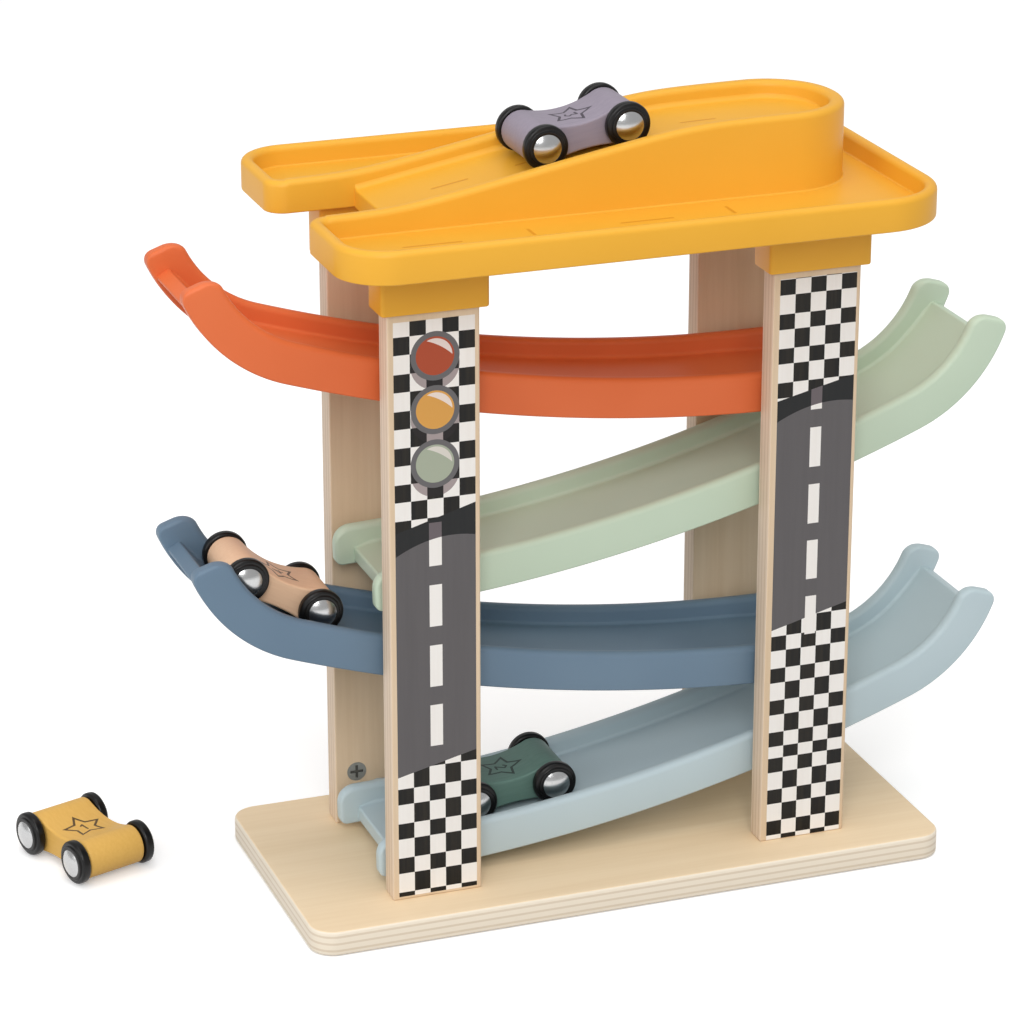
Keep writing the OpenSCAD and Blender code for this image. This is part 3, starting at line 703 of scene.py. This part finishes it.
def track_parts(middle, slope, lip_side):
    """Walls, floor and shoulders of a track, swept along its run and lip.

    path(s) = centre - (radius - up) (sin a, cos a), a = slope + s / radius; the lip is where s > 0
    """
    lip_ward = np.array([np.sin(slope), np.cos(slope)])
    run_x = run_radius * lip_ward[0] - lip_start
    run_centre = np.array([run_x, middle + np.sqrt(run_radius ** 2 - run_x ** 2)])
    lip_centre = run_centre - (run_radius - lip_radius) * lip_ward
    low_end = (np.arcsin((run_x - low_reach) / run_radius) - slope) * run_radius

    def sweep(s, y, up):
        """Capped tube with its rings at stations s, across the track at y and up from the path."""
        on_lip = np.broadcast_to(s[:, None] > 0, up.shape)
        radius = np.where(on_lip, lip_radius, run_radius)
        a = slope + s[:, None] / radius
        centre = np.where(on_lip[..., None], lip_centre, run_centre)
        flat = centre - (radius - up)[..., None] * np.stack([np.sin(a), np.cos(a)], -1)
        return capped(np.stack([-lip_side * flat[..., 0], y, flat[..., 1]], -1), lip_side < 0)

    def stations(low, high, end):
        """Places along the path, closer together over the length end at either end."""
        near = end * (1 - np.cos(np.linspace(0, np.pi / 2, 14)))
        return np.concatenate([low + near, np.linspace(low + end, 0, 40)[1:-1],
                               np.linspace(0, high - end, 30)[:-1], high - near[::-1]])

    parts = []
    arc = np.radians(np.arange(4)[:, None] * 90 + np.linspace(0, 90, 7)).ravel()
    outward = np.repeat([1, -1, -1, 1], 7)
    is_top = np.repeat([1, 1, 0, 0], 7)
    crown_end = 7.0
    foot_end = 3.0
    tip_foot_end = 4.5
    side_end = 1.6
    crown_r = 2.4
    foot_r = 0.8
    s = stations(low_end, lip_length, crown_end)
    d = np.minimum(s - low_end, lip_length - s)[:, None]
    ceiling = track_height - rounding(crown_end, d)
    ground = rounding(np.where(s > 0, tip_foot_end, foot_end)[:, None], d)
    half = track_wall / 2 - rounding(side_end, d)
    r = np.where(is_top, np.minimum(crown_r, half), foot_r)
    up = np.where(is_top, ceiling - r, ground + r) + r * np.sin(arc)
    for wall in (-1, 1):
        y = wall * (track_half - track_wall / 2) + outward * (half - r) + r * np.cos(arc)
        parts += sweep(s, y, up)

    end_r = 0.9
    s = stations(low_end + low_setback, lip_length - tip_setback, end_r)
    d = np.minimum(s - s[0], s[-1] - s)[:, None]
    lift = floor_fillet * (1 - np.sin(quarter))
    inset = track_half - track_wall + floor_tuck - floor_fillet * (1 - np.cos(quarter))
    floor_y = np.concatenate([inset, -inset[::-1], [-inset[0], inset[0]]])
    low_sag = low_fall * np.clip(1 - (s - s[0]) / fall_run, 0, 1) ** 2
    tip_sag = tip_fall * np.clip(1 - (s[-1] - s) / fall_run, 0, 1) ** 2
    fillets = np.clip(d / fillet_run, 0.1, 1) * np.concatenate([lift, lift[::-1]])
    top = floor_top - (low_sag + tip_sag)[:, None] + fillets - rounding(end_r, d)
    rib = rib_depth * np.clip((rib_run - d) / rib_slope, 0, 1)
    under = floor_under - rib + rounding(end_r, d)
    up = np.concatenate([top, under, under], 1)
    parts += sweep(s, np.broadcast_to(floor_y, up.shape), up)

    post_face = -post_boxes["front_left"][1][1]
    profile = [(shoulder, track_half - shoulder_tuck), (shoulder, post_face - shoulder_edge),
               (shoulder - shoulder_edge, post_face), (0, post_face)]
    for name in ("front_left", "front_right"):
        x = post_middles[name][0]
        z = run_centre[1] - np.sqrt((run_radius - track_height / 2) ** 2 - (run_x - x) ** 2)
        for wall in (-1, 1):
            parts.append(lathe(profile, (-lip_side * x, 0, z), (0, wall, 0), (1, 0, 0)))
    return parts


tracks = (("light_blue", 20.7, 1, (186, 202, 207), (179, 196, 202)),
          ("dark_blue", 19.5, -1, (107, 129, 148), (100, 122, 142)),
          ("mint", 21.5, 1, (195, 211, 190), (189, 206, 184)),
          ("orange", 18.2, -1, (222, 113, 66), (215, 105, 58)))
for step, (label, slope, lip_side, light, shade) in enumerate(tracks):
    middle = board_high[2] + bottom_height + step * track_pitch
    track = add_mesh(f"{label}_track_look", track_parts(middle, np.radians(slope), lip_side))
    track.data.materials.append(satin_plastic(f"{label} plastic".replace("_", " "), light, shade))
    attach(track, "frame")
    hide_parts(f"{label}_track")


# Cars: shaped from small blocks of stained wood with a scooped waist, a star and a digit stamped in dark ink
# on top. Each runs on two steel axles with black moulded wheels, and a polished steel dome is pressed into
# each wheel.
end_radius = 7.8
top_scoop = 3.2
belly_scoop = 2.0
body_half = 12.5
body_edge = 0.9
wheel_gap = 0.5
star_tip = 8.1
star_notch = 4.3
star_stroke = 0.5
digit_stroke = 0.42


def car_outline(half, n=20):
    """Side outline, anticlockwise, and outward normals: end circles about the axles joined by tangent scoops.

    scoop radius R = (half^2 - 2 end depth + depth^2) / (2 depth), its centre at height end - depth + R
    """
    scoops = []
    for depth in (top_scoop, belly_scoop):
        radius = (half ** 2 - 2 * end_radius * depth + depth ** 2) / (2 * depth)
        height = end_radius - depth + radius
        scoops.append((radius, height, np.arctan2(height, half)))
    (r1, z1, a1), (r2, z2, a2) = scoops
    arcs = [(half, 0, end_radius, a2 - np.pi, np.pi - a1, 1), (0, z1, r1, -a1, a1 - np.pi, -1),
            (-half, 0, end_radius, a1, 2 * np.pi - a2, 1), (0, -z2, r2, np.pi - a2, a2, -1)]
    points, normals = [], []
    for x, z, r, start, stop, outward in arcs:
        a = np.linspace(start, stop, n, endpoint=False)
        ring = np.stack([np.cos(a), np.sin(a)], -1)
        points.append([x, z] + r * ring)
        normals.append(outward * ring)
    return np.concatenate(points), np.concatenate(normals)


def stained_wood(name, light, shade, ink, digit):
    """Stain over fine grain along the car, with a five-pointed star outline and a digit in ink on its top.

    star edge: angle t from the rear, folded to |mod(t + 36, 72) - 36|, then the distance to the line from
    a tip to a notch
    """
    fifth = np.radians(72)
    wood, at, (a, b, c) = new_material(name, attribute="place", specular_ior_level=0.3)
    grain_at = at.node("Mapping", at, named={"Scale": (0.06, 1.0, 1.0)})
    grain = noise(grain_at, 900.0, 4.0, 0.6)
    far = length(a, b)
    fold = a.maths("FLOORED_MODULO", a.maths("ARCTAN2", b, a) + (fifth / 2 + np.pi), fifth)
    fold = abs(fold - fifth / 2)
    edge = star_notch * np.array([np.cos(fifth / 2), np.sin(fifth / 2)]) - [star_tip, 0]
    edge = edge / np.linalg.norm(edge)
    gap = (far * a.maths("COSINE", fold) - star_tip) * edge[1] - far * a.maths("SINE", fold) * edge[0]
    mark = abs(gap) < star_stroke
    for start, stop in zip(digit, digit[1:]):
        mark = mark.maths("MAXIMUM", mark, stroke_gap(a, b, start, stop) < digit_stroke)
    on_top = c > 1.0
    stain = mix(fade(grain, 0.25, 0.75), rgb(*light), rgb(*shade))
    finish_material(wood, mix(mark * on_top * 0.92, stain, rgb(*ink)), 0.46 + grain * 0.12, grain, 0.03)
    return wood


rubber, at, _ = new_material("black wheel", specular_ior_level=0.3)
dust = noise(at, 1500.0, 3.0, 0.6)
finish_material(rubber, mix(dust, rgb(11, 11, 11), rgb(19, 18, 18)), 0.24 + dust * 0.14, dust, 0.03)
chrome, at, _ = new_material("polished dome", metallic=1.0)
swirl = noise(at, 1200.0, 2.0)
finish_material(chrome, mix(swirl, rgb(198, 198, 197), rgb(184, 185, 186)), 0.17 + swirl * 0.1)
drawn, at, _ = new_material("drawn steel", metallic=1.0)
scratch = noise(at.node("Mapping", at, named={"Scale": (1.0, 0.05, 1.0)}), 1600.0, 2.0)
finish_material(drawn, mix(scratch, rgb(186, 188, 190), rgb(160, 162, 165)), 0.25 + scratch * 0.2)

# Profiles are radius and distance from the wheel's inner face: the wheel's goes from its bore round the tread
# and down into the dome's seat, the dome's from its foot up to its top.
tread = 8.8
tread_r = 1.2
tread_width = 3.9
wheel_bore = 1.5
wheel_face = 4.6
dome_seat = 5.55
seat_floor = 3.0
dome_radius = 5.5
dome_foot = 3.05
dome_rim = 4.55
dome_rise = 1.5
dome_top = 6.1
wheel_turn = np.linspace(0, np.pi / 2, 7)
round_in = tread_r * np.sin(wheel_turn)
round_out = tread_r * np.cos(wheel_turn)
wheel_profile = np.concatenate([
    [(wheel_bore, 0.0)], np.c_[tread - tread_r + round_in, tread_r - round_out],
    np.c_[tread - tread_r + round_out, tread_width - tread_r + round_in],
    [(7.2, tread_width), (7.0, 4.05), (7.0, 4.3), (6.9, 4.52), (6.7, wheel_face), (5.75, wheel_face),
     (5.56, 4.5), (dome_seat, seat_floor), (wheel_bore, seat_floor)]])
ball = (dome_radius ** 2 + dome_rise ** 2) / (2 * dome_rise)
dome_turn = np.linspace(np.arcsin(dome_radius / ball), 0, 14)
dome_profile = np.concatenate([[(dome_radius, dome_foot), (dome_radius, dome_rim)],
                               np.c_[ball * np.sin(dome_turn), dome_top - ball + ball * np.cos(dome_turn)]])
digits = {"lilac": [(-2.0, -1.2), (-2.2, 1.2), (-0.4, 0.1), (0.9, 1.3), (2.2, 0.1), (1.8, -1.2)],
          "peach": [(2.2, 0.7), (-2.2, 0.7), (0.8, -1.4), (0.8, 1.5)],
          "green": [(-1.3, -1.2), (-2.2, 0.0), (-1.2, 1.2), (2.1, -1.3), (2.1, 1.3)],
          "yellow": [(-1.3, -0.9), (-2.2, 0.2), (2.2, 0.2)]}
cars = (("lilac", (149, 140, 153), (140, 131, 144), (62, 55, 65)),
        ("peach", (235, 198, 165), (228, 188, 154), (92, 68, 54)),
        ("green", (99, 129, 119), (90, 119, 109), (40, 52, 48)),
        ("yellow", (226, 180, 95), (219, 171, 86), (66, 48, 34)))
for label, light, shade, ink in cars:
    axles = {end: corners(f"{label}_{end}_axle").mean(0) for end in ("front", "rear")}
    wheelbase = axles["front"] - axles["rear"]
    ahead = wheelbase / np.linalg.norm(wheelbase)
    left = np.cross((0, 0, 1), ahead)
    left = left / np.linalg.norm(left)
    axes = np.stack([ahead, left, np.cross(ahead, left)])
    middle = (axles["front"] + axles["rear"]) / 2
    outline, outward = car_outline(np.linalg.norm(wheelbase) / 2)
    blank = slab(outline, outward, [], -body_half, body_half, body_edge, upright)
    place = np.concatenate([points for points, _ in blank])
    body = add_mesh(f"{label}_body_look", [(middle + points @ axes, faces) for points, faces in blank], place)
    body.data.materials.append(stained_wood(f"{label} stain", light, shade, ink, digits[label]))
    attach(body, f"{label}_car")
    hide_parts(f"{label}_body")
    reach = body_half + wheel_gap
    for end, centre in axles.items():
        for piece, profile, finish, slot in (("wheels", wheel_profile, rubber, "black_wheel"),
                                             ("domes", dome_profile, chrome, "polished_dome")):
            pair = [lathe(profile, centre + side * reach * left, side * left, ahead, 64) for side in (-1, 1)]
            turned = add_mesh(f"{label}_{end}_{piece}_look", pair)
            turned.data.materials.append(finish)
            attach(turned, f"{label}_{end}_wheelset")
            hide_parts(f"{label}_{end}_{piece}")
        repaint(f"{label}_{end}_axle", drawn)


# Studio: a plain pale floor, which shows white but gives less light back, and three soft lamps from in front,
# above and the left. The camera stands where the photograph was taken. Lamps and camera are in metres.
floor_half = 4000.0
floor_drop = 0.3
paper, at, _ = new_material("pale floor", roughness=0.7, specular_ior_level=0.1, emission_strength=1.0)
haze = noise(at, 3.0, 2.0)
camera_ray, glossy_ray, transmission_ray = 0, 3, 6
shown = sum(at.node("LightPath", out=ray) for ray in (camera_ray, glossy_ray, transmission_ray))
shown = shown.maths("MINIMUM", shown, 1.0)
white = mix(haze, rgb(250, 250, 250), rgb(248, 248, 248))
finish_material(paper, mix(shown, rgb(188, 188, 188), white))
glow = mix(shown, rgb(0, 0, 0), rgb(137, 137, 137))
paper.node_tree.links.new(glow.socket, paper.node_tree.nodes["Principled BSDF"].inputs["Emission Color"])
sheet = floor_half * np.array([[-1, -1, 0], [1, -1, 0], [1, 1, 0], [-1, 1, 0]]) - [0, 0, floor_drop]
floor = add_mesh("floor", [(sheet, np.arange(4)[None])])
floor.data.materials.append(paper)

scene = bpy.context.scene
scene.view_settings.view_transform = "Standard"
world = bpy.data.worlds.new("studio")
world.use_nodes = True
world.node_tree.nodes["Background"].inputs["Color"].default_value = (1.0, 1.0, 1.0, 1.0)
world.node_tree.nodes["Background"].inputs["Strength"].default_value = 0.6
scene.world = world
for name, spot, aim, size, power in (("key softbox", (-0.75, -1.85, 1.45), (0, 0, 0.2), 1.0, 21.0),
                                     ("top softbox", (0.1, -0.5, 2.6), (0, 0, 0.2), 2.0, 24.0),
                                     ("left softbox", (-1.8, -0.5, 0.8), (0, 0, 0.15), 1.2, 7.5)):
    softbox = bpy.data.lights.new(name, "AREA")
    softbox.size = size
    softbox.energy = power
    light = bpy.data.objects.new(name, softbox)
    light.location = spot
    light.rotation_euler = (Vector(aim) - Vector(spot)).to_track_quat("-Z", "Y").to_euler()
    scene.collection.objects.link(light)

lens = bpy.data.cameras.new("camera")
lens.lens = 134.4
lens.sensor_width = 36.0
lens.clip_end = 20.0
right = (0.9403, -0.3405, 0.0)
up = (0.1213, 0.3349, 0.9345)
back = (-0.3182, -0.8786, 0.3561)
camera_at = (-0.5042, -1.3061, 0.6772)
stand = np.eye(4)
stand[:3] = np.transpose((right, up, back, camera_at))
camera = bpy.data.objects.new("camera", lens)
camera.matrix_world = Matrix(stand.tolist())
scene.collection.objects.link(camera)
scene.camera = camera
